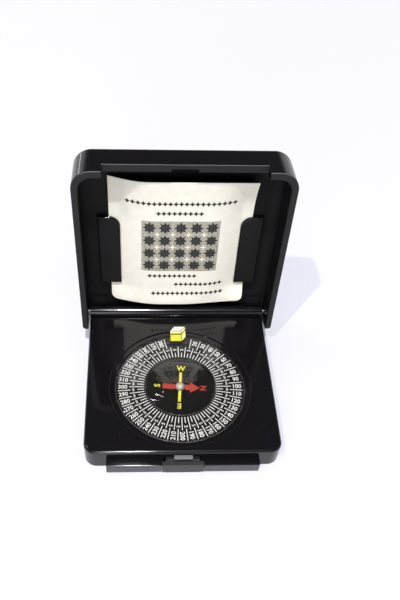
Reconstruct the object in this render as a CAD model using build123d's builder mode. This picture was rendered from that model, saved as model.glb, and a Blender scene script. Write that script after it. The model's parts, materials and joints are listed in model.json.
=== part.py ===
"""Folding pocket qibla compass: a hinged black case, a printed dial under a clear dome and a booklet.

Millimetres, +Z up. The origin is on the table under the middle of the base's top plate, +Y runs towards
the hinge, and the lid stands open on its stop. Pieces of the lid are drawn shut and then swung open.
"""
import os
from math import cos, pi, radians, sin, sqrt

from build123d import *

# Base case
base_width = 70.0
plate_depth = 62.7
base_height = 9.2
skirt_lift = 0.2
base_wall = 1.6
plate_wall = 1.8
base_corner_radius = 4.5
plate_edge_radius = 1.0

# Bottom plate and its screws
bottom_thickness = 1.5
bottom_gap = 0.15
screw_inset = 4.4
boss_radius = 2.3
screw_radius = 0.85
screw_length = 6.0
screw_head_radius = 1.7
screw_head_height = 0.9
screw_sink = 0.15
screw_slot_width = 0.4
screw_slot_depth = 0.5
thread_gap = 0.02

# Hinge
barrel_radius = 2.2
barrel_inset = 0.1
barrel_gap = 0.15
hinge_rise = 0.8
ledge_drop = 3.1
web_overlap = 1.2
pin_radius = 1.1
pin_reach = 5.0
pin_end_radius = 0.25
running_gap = 0.05
press_gap = 0.01
lean_angle = 5.7
stop_gap = 0.05

# Lid
lid_gap = 0.25
lid_side_wall = 2.3
lid_front_wall = 2.6
lid_panel = 2.4
lid_room = 5.2
lid_rim_height = 1.0
lid_corner_radius = 6.8
lid_back_radius = 2.0
lid_inner_radius = 3.4
lid_tail = 4.5
rim_tail = 1.3
rim_edge_radius = 0.35
tail_edge_radius = 1.3
pad_width = 5.5
pad_length = 4.5
pad_height = 1.4
pad_side_gap = 1.6
pad_hinge_gap = 0.7

# Front flange of the base, and the notch in the lid that goes over it
flange_width = 54.2
flange_depth = 2.9
flange_foot = 0.4
flange_height = 4.6
flange_edge_radius = 0.4
notch_side_gap = 0.3
notch_lift = 0.6
notch_edge_radius = 0.25

# Latch button, its hook and its spring
latch_width = 14.8
latch_side_gap = 0.15
latch_proud = 0.4
latch_rise = 0.3
latch_edge_radius = 0.35
latch_travel = 1.0
latch_stop_gap = 0.15
slide_gap = 0.1
tongue_thickness = 0.7
stem_width = 12.0
stem_height = 2.8
shoulder_width = 16.0
shoulder_depth = 1.2
shoulder_gap = 0.05
hook_width = 6.5
hook_drop = 1.3
hook_thickness = 0.85
hook_gap = 0.2
barb_reach = 0.6
barb_height = 1.0
hook_chamfer = 0.35
hook_edge_radius = 0.2
catch_side_gap = 1.35
catch_gap = 0.2
barb_room = 0.35
spring_wire = 0.35
spring_radius = 1.35
spring_length = 5.9
spring_turns = 6
spring_end_gap = 0.05
peg_radius = 0.85
peg_length = 1.5
seat_width = 5.2
seat_thickness = 1.2

# Dial, dome and compass capsule
dial_offset = -2.8
recess_radius = 26.4
recess_depth = 0.45
recess_edge_radius = 0.2
lens_radius = 24.4
lens_thickness = 1.0
lens_gap = 0.1
lens_edge_radius = 0.6
dome_radius = 13.4
dome_height = 2.4
dome_step = 0.5
dome_step_radius = 0.35
dome_foot_radius = 0.15
print_gap = 0.1
ring_thickness = 0.4
cup_flange_width = 1.8
cup_flange_thickness = 1.2
cup_wall = 1.2
bowl_depth = 3.3
pivot_boss_radius = 1.5
pivot_boss_height = 0.8

# Turning card, its magnets, its hub and the pivot
card_gap = 0.9
card_thickness = 0.5
card_drop = 0.3
needle_angle = -3.0
magnet_length = 11.0
magnet_width = 1.8
magnet_height = 1.1
magnet_spacing = 6.8
hub_radius = 1.7
hub_wall = 0.6
hub_crown = 1.1
hub_stem_radius = 1.2
hub_stem_length = 1.0
hub_bore_radius = 0.75
jewel_height = 0.9
jewel_mouth_radius = 0.55
jewel_cup_depth = 0.6
fit_gap = 0.01
pivot_radius = 0.4
pivot_tip_length = 0.85
pivot_tip_radius = 0.03
pivot_gap = 0.05
pivot_root = 0.8

# Direction marker on the dial's hinge side, a cube drawn in oblique view
marker_thickness = 0.3
marker_face_width = 4.5
marker_face_height = 5.3
marker_slant_x = 1.7
marker_slant_y = 2.3
marker_start_radius = 21.0
marker_left = -3.0

# Booklet and the two clips that hold it in the lid
booklet_side_gap = 9.25
booklet_front_gap = 5.6
booklet_hinge_gap = 5.2
booklet_corner_radius = 0.8
cover_leaf = 0.3
inner_leaves = 0.8
clip_length = 30.0
clip_hinge_gap = 13.4
clip_overlap = 4.0
clip_side_gap = 1.2
clip_foot_width = 3.0
clip_room = 0.3
clip_thickness = 0.9
clip_corner_radius = 4.0
clip_edge_radius = 0.7

# Places worked out from the sizes above
front_y = -plate_depth / 2
back_y = plate_depth / 2
plate_underside = base_height - plate_wall
ledge_height = base_height - ledge_drop
hinge_y = back_y + barrel_gap + barrel_radius
hinge_z = base_height + hinge_rise
hinge_axis = Axis((0, hinge_y, hinge_z), (1, 0, 0))
barrel_half = base_width / 2 - barrel_inset
lean = radians(lean_angle)
open_turn = -(90 + lean_angle)

lid_half = base_width / 2 + lid_gap + lid_side_wall
lid_inner_half = base_width / 2 + lid_gap
lid_front = front_y - lid_gap - lid_front_wall
lid_inner_front = front_y - lid_gap
panel_z = base_height + lid_room
lid_top = panel_z + lid_panel
lid_depth = lid_top - lid_rim_height
tail_y = hinge_y + lid_tail
tail_slope = Vector(0, lid_tail - rim_tail, panel_z - lid_rim_height)

flange_top = flange_foot + flange_height
flange_front = front_y - flange_depth
notch_top = flange_top + notch_lift

cavity_front = front_y + base_wall
cavity_half = base_width / 2 - base_wall
cavity_corner_radius = base_corner_radius - base_wall
screw_x = cavity_half - screw_inset
screw_y = back_y - base_wall - screw_inset
boss_root = bottom_thickness

block_top = flange_top + latch_rise
block_foot = skirt_lift + tongue_thickness + slide_gap
block_front = flange_front - latch_proud
block_back = front_y - latch_travel - latch_stop_gap
stem_foot = bottom_thickness + slide_gap
stem_top = stem_foot + stem_height
shoulder_front = cavity_front + shoulder_gap
shoulder_back = shoulder_front + shoulder_depth
hook_top = base_height - hook_drop
hook_back = front_y - hook_gap
hook_front = hook_back - hook_thickness
barb_tip = hook_front - barb_reach
barb_foot = hook_top - barb_height
hook_slot_floor = hook_back + latch_travel + latch_stop_gap
spring_z = stem_foot + spring_radius + spring_wire / 2
spring_start = shoulder_back + spring_end_gap + spring_wire / 2
spring_pitch = (spring_length - spring_wire) / spring_turns
seat_y = spring_start + spring_length - spring_wire / 2 + spring_end_gap

dial_y = dial_offset
dial_plane = Plane(origin=(0, dial_y, 0), x_dir=(1, 0, 0), z_dir=(0, -1, 0))
dial_axis = Axis((0, dial_y, 0), (0, 0, 1))
lens_level = base_height - lens_thickness
ring_level = lens_level - print_gap - ring_thickness
dome_sphere = (dome_radius**2 + dome_height**2) / (2 * dome_height)
dome_apex = base_height + dome_height
dome_center = dome_apex - dome_sphere
dome_rise = dome_height - dome_step
dome_outer_sphere = (dome_radius**2 + dome_rise**2) / (2 * dome_rise)
dome_outer_center = dome_apex - dome_outer_sphere
dome_inner_sphere = dome_sphere - lens_thickness
dome_inner_radius = sqrt(dome_inner_sphere**2 - (lens_level - dome_center) ** 2)
bowl_radius = dome_inner_radius
cup_flange_radius = lens_radius + cup_flange_width
cup_floor_level = ring_level - bowl_depth
cup_floor_bottom = cup_floor_level - cup_wall
card_radius = bowl_radius - card_gap
card_level = lens_level - card_drop
card_bottom = card_level - card_thickness
hub_top = card_level + hub_wall + hub_crown
hub_sphere = (hub_radius**2 + hub_crown**2) / (2 * hub_crown)
jewel_bottom = card_level
jewel_top = jewel_bottom + jewel_height
pivot_tip = jewel_bottom + jewel_cup_depth - pivot_gap

booklet_thickness = 2 * cover_leaf + inner_leaves
booklet_half = lid_inner_half - booklet_side_gap
booklet_back_y = hinge_y - booklet_hinge_gap
booklet_length = booklet_back_y - lid_inner_front - booklet_front_gap
clip_inner = booklet_half - clip_overlap
clip_foot_inner = booklet_half + clip_side_gap
clip_outer = clip_foot_inner + clip_foot_width
clip_tab_top = panel_z - booklet_thickness - clip_room
clip_back_y = hinge_y - clip_hinge_gap


def heel_y(height):
    """Depth at which the back of the base meets the open lid's panel, at a height."""
    panel_offset = panel_z - hinge_z - stop_gap
    return hinge_y + (panel_offset + sin(lean) * (height - hinge_z)) / cos(lean)


cavity_back = heel_y(skirt_lift) - base_wall


def dome_height_at(center, sphere, radius):
    """Height of a dome surface at a radius from the dial's axis, from its sphere's centre and radius."""
    return center + sqrt(sphere**2 - radius**2)


def spring_point(turn):
    """Point of the latch spring's wire after a number of turns."""
    angle = 2 * pi * turn
    along = spring_start + spring_pitch * turn
    return Vector(spring_radius * cos(angle), along, spring_z + spring_radius * sin(angle))


def spring_tangent(turn):
    """Direction of the latch spring's wire after a number of turns."""
    angle = 2 * pi * turn
    around = 2 * pi * spring_radius
    return Vector(-around * sin(angle), spring_pitch, around * cos(angle)).normalized()


def biarc_joint(start, start_way, finish, finish_way):
    """Point and direction where two arcs meet smoothly between two points with given directions."""
    chord = finish - start
    ways = start_way + finish_way
    spread = 2 * (1 - start_way.dot(finish_way))
    along = chord.dot(ways)
    reach = (sqrt(along**2 + spread * chord.dot(chord)) - along) / spread
    first_corner = start + start_way * reach
    second_corner = finish - finish_way * reach
    return (first_corner + second_corner) * 0.5, (second_corner - first_corner).normalized()


def swing_open(piece, label):
    """The lid's piece, drawn shut, turned about the hinge to the open lid."""
    opened = piece.rotate(hinge_axis, open_turn)
    opened.label = label
    return opened


os.makedirs("parts", exist_ok=True)

# Base case: top plate and skirt in one moulding, with the front flange, the rear ledge and the hinge barrel
with BuildPart() as base_case:
    with BuildSketch(Plane.YZ):
        with BuildLine():
            Polyline(
                (front_y, skirt_lift),
                (front_y, base_height),
                (back_y, base_height),
                (back_y, ledge_height),
                (heel_y(ledge_height), ledge_height),
                (heel_y(skirt_lift), skirt_lift),
                close=True,
            )
        make_face()
    extrude(amount=base_width / 2, both=True)
    fillet(base_case.edges().filter_by(Axis.Z).sort_by(Axis.Y)[:2], base_corner_radius)
    fillet(base_case.faces().sort_by(Axis.Z)[-1].edges(), plate_edge_radius)
    heel_sides = base_case.faces().sort_by(Axis.Y)[-1].edges().sort_by(Axis.X)
    fillet([heel_sides[0], heel_sides[-1]], lid_inner_radius + lid_gap)

    with BuildSketch(Plane.XY.offset(flange_foot)):
        with Locations((0, front_y)):
            Rectangle(flange_width, flange_depth, align=(Align.CENTER, Align.MAX))
    extrude(amount=flange_height)
    flange_edges = base_case.edges().group_by(Axis.Y)[0]
    fillet(flange_edges, flange_edge_radius)

    # Space for the capsule under the plate, and under the ledge
    with BuildSketch(Plane.XY.offset(skirt_lift)) as plate_space:
        with Locations((0, cavity_front)):
            Rectangle(2 * cavity_half, plate_depth - 2 * base_wall, align=(Align.CENTER, Align.MIN))
        fillet(plate_space.vertices().group_by(Axis.Y)[0], cavity_corner_radius)
    extrude(amount=plate_underside - skirt_lift, mode=Mode.SUBTRACT)
    with BuildSketch(Plane.XY.offset(skirt_lift)) as ledge_space:
        with Locations((0, cavity_front)):
            Rectangle(2 * cavity_half, cavity_back - cavity_front, align=(Align.CENTER, Align.MIN))
        fillet(ledge_space.vertices().group_by(Axis.Y)[0], cavity_corner_radius)
    extrude(amount=ledge_height - base_wall - skirt_lift, mode=Mode.SUBTRACT)

    # Screw bosses
    with BuildSketch(Plane.XY.offset(boss_root)):
        with GridLocations(2 * screw_x, 2 * screw_y, 2, 2):
            Circle(boss_radius)
    extrude(amount=plate_underside - boss_root)
    with BuildSketch(Plane.XY.offset(boss_root)):
        with GridLocations(2 * screw_x, 2 * screw_y, 2, 2):
            Circle(screw_radius + thread_gap)
    extrude(amount=screw_sink + screw_length + thread_gap - boss_root, mode=Mode.SUBTRACT)

    # Window for the dial, with a shallow recess round it
    with BuildSketch(Plane.XY.offset(base_height)):
        with Locations((0, dial_y)):
            Circle(recess_radius)
    extrude(amount=-recess_depth, mode=Mode.SUBTRACT)
    plate_top = base_case.faces().filter_by(Axis.Z).sort_by(Axis.Z)[-1]
    fillet(plate_top.inner_wires().edges(), recess_edge_radius)
    with BuildSketch(Plane.XY.offset(base_height)):
        with Locations((0, dial_y)):
            Circle(lens_radius + lens_gap)
    extrude(amount=-plate_wall, mode=Mode.SUBTRACT)

    # Hinge barrel on its web, with a bore in each end
    with BuildSketch(Plane.YZ):
        with Locations((hinge_y, hinge_z)):
            Circle(barrel_radius)
        with Locations((back_y, ledge_height)):
            Rectangle(
                hinge_y + web_overlap - back_y,
                hinge_z - ledge_height,
                align=(Align.MIN, Align.MIN),
            )
    extrude(amount=barrel_half, both=True)
    with BuildSketch(Plane.YZ.offset(barrel_half)):
        with Locations((hinge_y, hinge_z)):
            Circle(pin_radius + running_gap)
    extrude(amount=-(pin_reach + slide_gap), mode=Mode.SUBTRACT)
    with BuildSketch(Plane.YZ.offset(-barrel_half)):
        with Locations((hinge_y, hinge_z)):
            Circle(pin_radius + running_gap)
    extrude(amount=pin_reach + slide_gap, mode=Mode.SUBTRACT)

    # Gap in the flange for the latch button, window for its stem and slot for its hook
    with BuildSketch(Plane.XY.offset(flange_foot)):
        with Locations((0, front_y)):
            Rectangle(
                latch_width + 2 * latch_side_gap,
                flange_depth,
                align=(Align.CENTER, Align.MAX),
            )
    extrude(amount=flange_height, mode=Mode.SUBTRACT)
    with BuildSketch(Plane.XY.offset(skirt_lift)):
        with Locations((0, front_y)):
            Rectangle(
                stem_width + 2 * latch_side_gap,
                base_wall,
                align=(Align.CENTER, Align.MIN),
            )
    extrude(amount=stem_top + slide_gap - skirt_lift, mode=Mode.SUBTRACT)
    with BuildSketch(Plane.XY.offset(stem_top)):
        with Locations((0, front_y)):
            Rectangle(
                hook_width + 2 * latch_side_gap,
                hook_slot_floor - front_y,
                align=(Align.CENTER, Align.MIN),
            )
    extrude(amount=hook_top + slide_gap - stem_top, mode=Mode.SUBTRACT)
base_case.part.label = "base_case"
export_step(base_case.part, "parts/base_case.step")

# Bottom plate: closes the base, carries the latch's tongue and its spring seat
with BuildPart() as bottom_plate:
    with BuildSketch() as bottom_outline:
        with Locations((0, cavity_front + bottom_gap)):
            Rectangle(
                2 * (cavity_half - bottom_gap),
                cavity_back - cavity_front - 2 * bottom_gap,
                align=(Align.CENTER, Align.MIN),
            )
        fillet(bottom_outline.vertices().group_by(Axis.Y)[0], cavity_corner_radius - bottom_gap)
    extrude(amount=bottom_thickness)
    with BuildSketch(Plane.XY.offset(skirt_lift)):
        with Locations((0, cavity_front + bottom_gap)):
            Rectangle(
                stem_width,
                cavity_front + bottom_gap - flange_front,
                align=(Align.CENTER, Align.MAX),
            )
    extrude(amount=tongue_thickness)
    with BuildSketch(Plane.XY.offset(bottom_thickness)):
        with Locations((0, seat_y)):
            Rectangle(seat_width, seat_thickness, align=(Align.CENTER, Align.MIN))
    extrude(amount=spring_z + spring_radius + spring_wire / 2 - bottom_thickness)
    with BuildSketch():
        with GridLocations(2 * screw_x, 2 * screw_y, 2, 2):
            Circle(screw_radius + thread_gap)
    extrude(amount=bottom_thickness, mode=Mode.SUBTRACT)
    with BuildSketch():
        with GridLocations(2 * screw_x, 2 * screw_y, 2, 2):
            Circle(screw_head_radius + thread_gap)
    extrude(amount=screw_sink + screw_head_height, mode=Mode.SUBTRACT)
bottom_plate.part.label = "bottom_plate"
export_step(bottom_plate.part, "parts/bottom_plate.step")

# Four small screws with slotted heads, up through the bottom plate
with BuildPart() as bottom_screws:
    with BuildSketch(Plane.XY.offset(screw_sink)):
        with GridLocations(2 * screw_x, 2 * screw_y, 2, 2):
            Circle(screw_head_radius)
    extrude(amount=screw_head_height)
    with BuildSketch(Plane.XY.offset(screw_sink)):
        with GridLocations(2 * screw_x, 2 * screw_y, 2, 2):
            Circle(screw_radius)
    extrude(amount=screw_length)
    with BuildSketch(Plane.XY.offset(screw_sink)):
        with GridLocations(2 * screw_x, 2 * screw_y, 2, 2):
            Rectangle(2 * screw_head_radius, screw_slot_width)
    extrude(amount=screw_slot_depth, mode=Mode.SUBTRACT)
bottom_screws.part.label = "bottom_screws"
export_step(bottom_screws.part, "parts/bottom_screws.step")

# Dial cup: bowl for the card, with a flange that is glued under the top plate
with BuildPart() as dial_cup:
    with BuildSketch(dial_plane):
        with BuildLine():
            Polyline(
                (0, cup_floor_bottom),
                (bowl_radius + cup_wall, cup_floor_bottom),
                (bowl_radius + cup_wall, plate_underside - cup_flange_thickness),
                (cup_flange_radius, plate_underside - cup_flange_thickness),
                (cup_flange_radius, plate_underside),
                (lens_radius, plate_underside),
                (lens_radius, ring_level),
                (bowl_radius, ring_level),
                (bowl_radius, cup_floor_level),
                (pivot_boss_radius, cup_floor_level),
                (pivot_boss_radius, cup_floor_level + pivot_boss_height),
                (pivot_radius + fit_gap, cup_floor_level + pivot_boss_height),
                (pivot_radius + fit_gap, cup_floor_level - pivot_root),
                (0, cup_floor_level - pivot_root),
                close=True,
            )
        make_face()
    revolve(axis=dial_axis)
dial_cup.part.label = "dial_cup"
export_step(dial_cup.part, "parts/dial_cup.step")

# Dial ring: the printed disc under the clear cover
with BuildPart() as dial_ring:
    with BuildSketch(Plane.XY.offset(ring_level)):
        with Locations((0, dial_y)):
            Circle(lens_radius)
            Circle(bowl_radius, mode=Mode.SUBTRACT)
    extrude(amount=ring_thickness)
dial_ring.part.label = "dial_ring"
export_step(dial_ring.part, "parts/dial_ring.step")

# Dome lens: one clear moulding, flat over the printed ring, with a low step round its dome over the card
with BuildPart() as dome_lens:
    with BuildSketch(dial_plane):
        with BuildLine():
            ThreePointArc(
                (0, dome_apex),
                (dome_radius / 2, dome_height_at(dome_outer_center, dome_outer_sphere, dome_radius / 2)),
                (dome_radius, base_height + dome_step),
            )
            Polyline(
                (dome_radius, base_height + dome_step),
                (dome_radius, base_height),
                (lens_radius - lens_edge_radius, base_height),
            )
            TangentArc(
                (lens_radius - lens_edge_radius, base_height),
                (lens_radius, base_height - lens_edge_radius),
                tangent=(1, 0),
            )
            Polyline(
                (lens_radius, base_height - lens_edge_radius),
                (lens_radius, lens_level),
                (dome_inner_radius, lens_level),
            )
            ThreePointArc(
                (dome_inner_radius, lens_level),
                (dome_inner_radius / 2, dome_height_at(dome_center, dome_inner_sphere, dome_inner_radius / 2)),
                (0, dome_apex - lens_thickness),
            )
            Line((0, dome_apex - lens_thickness), (0, dome_apex))
        make_face()
        fillet(vertices().sort_by_distance((dome_radius, base_height + dome_step))[0], radius=dome_step_radius)
        fillet(vertices().sort_by_distance((dome_radius, base_height))[0], radius=dome_foot_radius)
    revolve(axis=dial_axis)
dome_lens.part.label = "dome_lens"
export_step(dome_lens.part, "parts/dome_lens.step")

# Pivot pin: steel needle pressed into the bowl's floor
with BuildPart() as pivot_pin:
    with BuildSketch(dial_plane):
        with BuildLine():
            Polyline(
                (0, cup_floor_level - pivot_root),
                (pivot_radius, cup_floor_level - pivot_root),
                (pivot_radius, pivot_tip - pivot_tip_length),
                (pivot_tip_radius, pivot_tip),
                (0, pivot_tip),
                close=True,
            )
        make_face()
    revolve(axis=dial_axis)
pivot_pin.part.label = "pivot_pin"
export_step(pivot_pin.part, "parts/pivot_pin.step")

# Compass card: the turning disc that carries the printed arrow
with BuildPart() as compass_card:
    with BuildSketch(Plane.XY.offset(card_bottom)):
        with Locations((0, dial_y)):
            Circle(card_radius)
            Circle(hub_stem_radius + fit_gap, mode=Mode.SUBTRACT)
    extrude(amount=card_thickness)
compass_card.part.label = "compass_card"
export_step(compass_card.part, "parts/compass_card.step")

# Two bar magnets under the card, along its north-south line
with BuildPart() as card_magnets:
    with BuildSketch(Plane.XY.offset(card_bottom)):
        with Locations(Location((0, dial_y, 0), (0, 0, needle_angle))):
            with GridLocations(0, magnet_spacing, 1, 2):
                Rectangle(magnet_length, magnet_width)
    extrude(amount=-magnet_height)
card_magnets.part.label = "card_magnets"
export_step(card_magnets.part, "parts/card_magnets.step")

# Hub cap: bright domed button whose stem goes through the card and holds the jewel
with BuildPart() as hub_cap:
    with BuildSketch(dial_plane):
        with BuildLine():
            Polyline(
                (0, jewel_top),
                (hub_bore_radius, jewel_top),
                (hub_bore_radius, card_level - hub_stem_length),
                (hub_stem_radius, card_level - hub_stem_length),
                (hub_stem_radius, card_level),
                (hub_radius, card_level),
                (hub_radius, card_level + hub_wall),
            )
            ThreePointArc(
                (hub_radius, card_level + hub_wall),
                (hub_radius / 2, hub_top - hub_sphere + sqrt(hub_sphere**2 - hub_radius**2 / 4)),
                (0, hub_top),
            )
            Line((0, hub_top), (0, jewel_top))
        make_face()
    revolve(axis=dial_axis)
hub_cap.part.label = "hub_cap"
export_step(hub_cap.part, "parts/hub_cap.step")

# Jewel bearing: the cupped stone that turns on the pivot's tip
with BuildPart() as jewel_bearing:
    with BuildSketch(dial_plane):
        with BuildLine():
            Polyline(
                (0, jewel_bottom + jewel_cup_depth),
                (jewel_mouth_radius, jewel_bottom),
                (hub_bore_radius - fit_gap, jewel_bottom),
                (hub_bore_radius - fit_gap, jewel_top),
                (0, jewel_top),
                close=True,
            )
        make_face()
    revolve(axis=dial_axis)
jewel_bearing.part.label = "jewel_bearing"
export_step(jewel_bearing.part, "parts/jewel_bearing.step")

# Direction marker: a thin cube pictogram that bridges the recess from the lens to the plate
marker_right = marker_left + marker_face_width
marker_near = dial_y + marker_start_radius
marker_far = marker_near + marker_face_height
with BuildPart() as qibla_marker:
    with BuildSketch(Plane.XY.offset(base_height)):
        with BuildLine():
            Polyline(
                (marker_left, marker_near),
                (marker_right, marker_near),
                (marker_right + marker_slant_x, marker_near + marker_slant_y),
                (marker_right + marker_slant_x, marker_far + marker_slant_y),
                (marker_left + marker_slant_x, marker_far + marker_slant_y),
                (marker_left, marker_far),
                close=True,
            )
        make_face()
    extrude(amount=marker_thickness)
qibla_marker.part.label = "qibla_marker"
export_step(qibla_marker.part, "parts/qibla_marker.step")

# Latch button: finger block, stem with shoulders behind the front wall, spring peg and hook
with BuildPart() as latch_button:
    with BuildSketch(Plane.XY.offset(block_foot)):
        with Locations((0, block_front)):
            Rectangle(latch_width, block_back - block_front, align=(Align.CENTER, Align.MIN))
    extrude(amount=block_top - block_foot)
    front_edges = latch_button.faces().sort_by(Axis.Y)[0].edges()
    top_edges = latch_button.faces().sort_by(Axis.Z)[-1].edges().sort_by(Axis.Y)[1:]
    fillet(front_edges + top_edges, latch_edge_radius)
    with BuildSketch(Plane.XY.offset(stem_foot)):
        with Locations((0, block_back)):
            Rectangle(stem_width, shoulder_front - block_back, align=(Align.CENTER, Align.MIN))
        with Locations((0, shoulder_front)):
            Rectangle(shoulder_width, shoulder_depth, align=(Align.CENTER, Align.MIN))
    extrude(amount=stem_height)
    with BuildSketch(Plane.XZ.offset(-shoulder_back)):
        with Locations((0, spring_z)):
            Circle(peg_radius)
    extrude(amount=-peg_length)
    with BuildSketch(Plane.YZ):
        with BuildLine():
            Polyline(
                (hook_back, stem_top),
                (hook_back, hook_top),
                (hook_front, hook_top),
                (barb_tip, barb_foot + hook_chamfer),
                (barb_tip, barb_foot),
                (hook_front, barb_foot),
                (hook_front, stem_top),
                close=True,
            )
        make_face()
    extrude(amount=hook_width / 2, both=True)
    hook_ridge = latch_button.faces().filter_by(Axis.Z).sort_by(Axis.Z)[-1]
    fillet(hook_ridge.edges().filter_by(Axis.X), hook_edge_radius)
latch_button.part.label = "latch_button"
export_step(latch_button.part, "parts/latch_button.step")

# Latch spring: one wire wound round the peg, quarter turn by quarter turn
with BuildPart() as latch_spring:
    with BuildLine() as spring_path:
        for quarter in range(4 * spring_turns):
            start = spring_point(quarter / 4)
            start_way = spring_tangent(quarter / 4)
            finish = spring_point((quarter + 1) / 4)
            finish_way = spring_tangent((quarter + 1) / 4)
            joint, joint_way = biarc_joint(start, start_way, finish, finish_way)
            TangentArc(start, joint, tangent=start_way)
            TangentArc(joint, finish, tangent=joint_way)
    with BuildSketch(Plane(origin=spring_point(0), z_dir=spring_tangent(0))):
        Circle(spring_wire / 2)
    sweep(path=spring_path.wire())
latch_spring.part.label = "latch_spring"
export_step(latch_spring.part, "parts/latch_spring.step")

# Least gap between neighbouring turns of the spring
turn_samples = 48
samples = [spring_point(step / turn_samples) for step in range(turn_samples * spring_turns + 1)]
turn_gaps = [
    (samples[near] - samples[far]).length - spring_wire
    for near in range(len(samples))
    for far in range(near + turn_samples // 2, len(samples))
]
print(f"latch spring: least gap between turns {min(turn_gaps):.3f} mm")

# Hinge pins: pressed into the lid's side walls and turning in the barrel's bores
pin_length = lid_half - barrel_half + pin_reach
for side, label in ((-1, "hinge_pin_left"), (1, "hinge_pin_right")):
    with BuildPart() as hinge_pin:
        with BuildSketch(Plane.YZ.offset(side * lid_half)):
            with Locations((hinge_y, hinge_z)):
                Circle(pin_radius)
        extrude(amount=-side * pin_length)
        outer_end = hinge_pin.faces().filter_by(Axis.X).sort_by(Axis.X)[0 if side < 0 else -1]
        fillet(outer_end.edges(), pin_end_radius)
    hinge_pin.part.label = label
    export_step(hinge_pin.part, f"parts/{label}.step")

# Lid shell: a deep tray that goes over the base, open at the hinge end
with BuildPart() as lid_shell:
    with BuildSketch(Plane.XY.offset(lid_rim_height)) as lid_outline:
        with Locations((0, lid_front)):
            Rectangle(2 * lid_half, tail_y - lid_front, align=(Align.CENTER, Align.MIN))
        fillet(lid_outline.vertices().group_by(Axis.Y)[0], lid_corner_radius)
    extrude(amount=lid_depth)
    fillet(lid_shell.faces().sort_by(Axis.Z)[-1].edges().sort_by(Axis.Y)[:-1], lid_back_radius)

    with BuildSketch(Plane.XY.offset(lid_rim_height)) as lid_hollow:
        with Locations((0, lid_inner_front)):
            Rectangle(2 * lid_inner_half, tail_y - lid_inner_front, align=(Align.CENTER, Align.MIN))
        fillet(lid_hollow.vertices().group_by(Axis.Y)[0], base_corner_radius + lid_gap)
    extrude(amount=lid_depth - lid_panel, mode=Mode.SUBTRACT)
    panel_face = lid_shell.faces().filter_by(Axis.Z).group_by(Axis.Z)[-2][0]
    fillet(panel_face.edges().sort_by(Axis.Y)[:-1], lid_inner_radius)
    fillet(lid_shell.faces().sort_by(Axis.Z)[0].edges(), rim_edge_radius)

    # Side walls end in a slope behind the hinge, rounded on the outside
    with BuildSketch(Plane.YZ):
        with BuildLine():
            Polyline(
                (hinge_y + rim_tail, lid_rim_height),
                (tail_y, lid_rim_height),
                (tail_y, panel_z),
                close=True,
            )
        make_face()
    extrude(amount=lid_half, both=True, mode=Mode.SUBTRACT)
    with BuildSketch(Plane.XY.offset(lid_rim_height)):
        with Locations((0, hinge_y + rim_tail)):
            with GridLocations(2 * lid_half - tail_edge_radius, 0, 2, 1):
                Rectangle(tail_edge_radius, tail_edge_radius, align=(Align.CENTER, Align.MAX))
        with Locations((0, hinge_y + rim_tail - tail_edge_radius)):
            with GridLocations(2 * (lid_half - tail_edge_radius), 0, 2, 1):
                Circle(tail_edge_radius, mode=Mode.SUBTRACT)
    extrude(amount=tail_slope.length, dir=tail_slope, mode=Mode.SUBTRACT)

    # Notch that goes over the flange, and the catch in the front wall: a slot that opens to the outside
    # where the hook's barb goes in
    with BuildSketch(Plane.XY.offset(lid_rim_height)):
        with Locations((0, lid_front)):
            Rectangle(
                flange_width + 2 * notch_side_gap,
                lid_front_wall,
                align=(Align.CENTER, Align.MIN),
            )
    extrude(amount=notch_top - lid_rim_height, mode=Mode.SUBTRACT)
    notch_edges = lid_shell.edges().filter_by(Axis.X)
    fillet(notch_edges.sort_by_distance((0, lid_front, notch_top))[0], notch_edge_radius)
    with BuildSketch(Plane.XY.offset(notch_top)):
        with Locations((0, lid_inner_front)):
            Rectangle(
                hook_width + 2 * catch_side_gap,
                lid_inner_front - hook_front + catch_gap,
                align=(Align.CENTER, Align.MAX),
            )
    extrude(amount=hook_top + barb_room - notch_top, mode=Mode.SUBTRACT)
    with BuildSketch(Plane.XY.offset(barb_foot - slide_gap)):
        with Locations((0, lid_inner_front)):
            Rectangle(
                hook_width + 2 * catch_side_gap,
                lid_front_wall,
                align=(Align.CENTER, Align.MAX),
            )
    extrude(amount=barb_height + slide_gap + barb_room, mode=Mode.SUBTRACT)

    # Holes for the hinge pins, and two pads beside the hinge
    with BuildSketch(Plane.YZ.offset(-lid_half)):
        with Locations((hinge_y, hinge_z)):
            Circle(pin_radius + press_gap)
    extrude(amount=2 * lid_half, mode=Mode.SUBTRACT)
    with BuildSketch(Plane.XY.offset(panel_z)):
        with Locations((0, hinge_y - pad_hinge_gap - pad_length / 2)):
            with GridLocations(2 * lid_inner_half - 2 * pad_side_gap - pad_width, 0, 2, 1):
                Rectangle(pad_width, pad_length)
    extrude(amount=-pad_height)
export_step(swing_open(lid_shell.part, "lid_shell"), "parts/lid_shell.step")

# Booklet clips: a foot on the lid's panel and a tab over the booklet's edge
for side, label in ((-1, "booklet_clip_left"), (1, "booklet_clip_right")):
    with BuildPart() as clip:
        with BuildSketch(Plane.XY.offset(clip_tab_top)) as tab:
            with Locations((side * (clip_inner + clip_outer) / 2, clip_back_y)):
                Rectangle(clip_outer - clip_inner, clip_length, align=(Align.CENTER, Align.MAX))
            front_corners = tab.vertices().group_by(Axis.Y)[0]
            fillet(front_corners.sort_by(lambda corner: abs(corner.X))[0], clip_corner_radius)
        extrude(amount=-clip_thickness)
        fillet(clip.faces().sort_by(Axis.Z)[0].edges(), clip_edge_radius)
        with BuildSketch(Plane.XY.offset(clip_tab_top)):
            with Locations((side * (clip_foot_inner + clip_outer) / 2, clip_back_y)):
                Rectangle(clip_foot_width, clip_length, align=(Align.CENTER, Align.MAX))
        extrude(amount=panel_z - clip_tab_top)
    export_step(swing_open(clip.part, label), f"parts/{label}.step")

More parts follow.
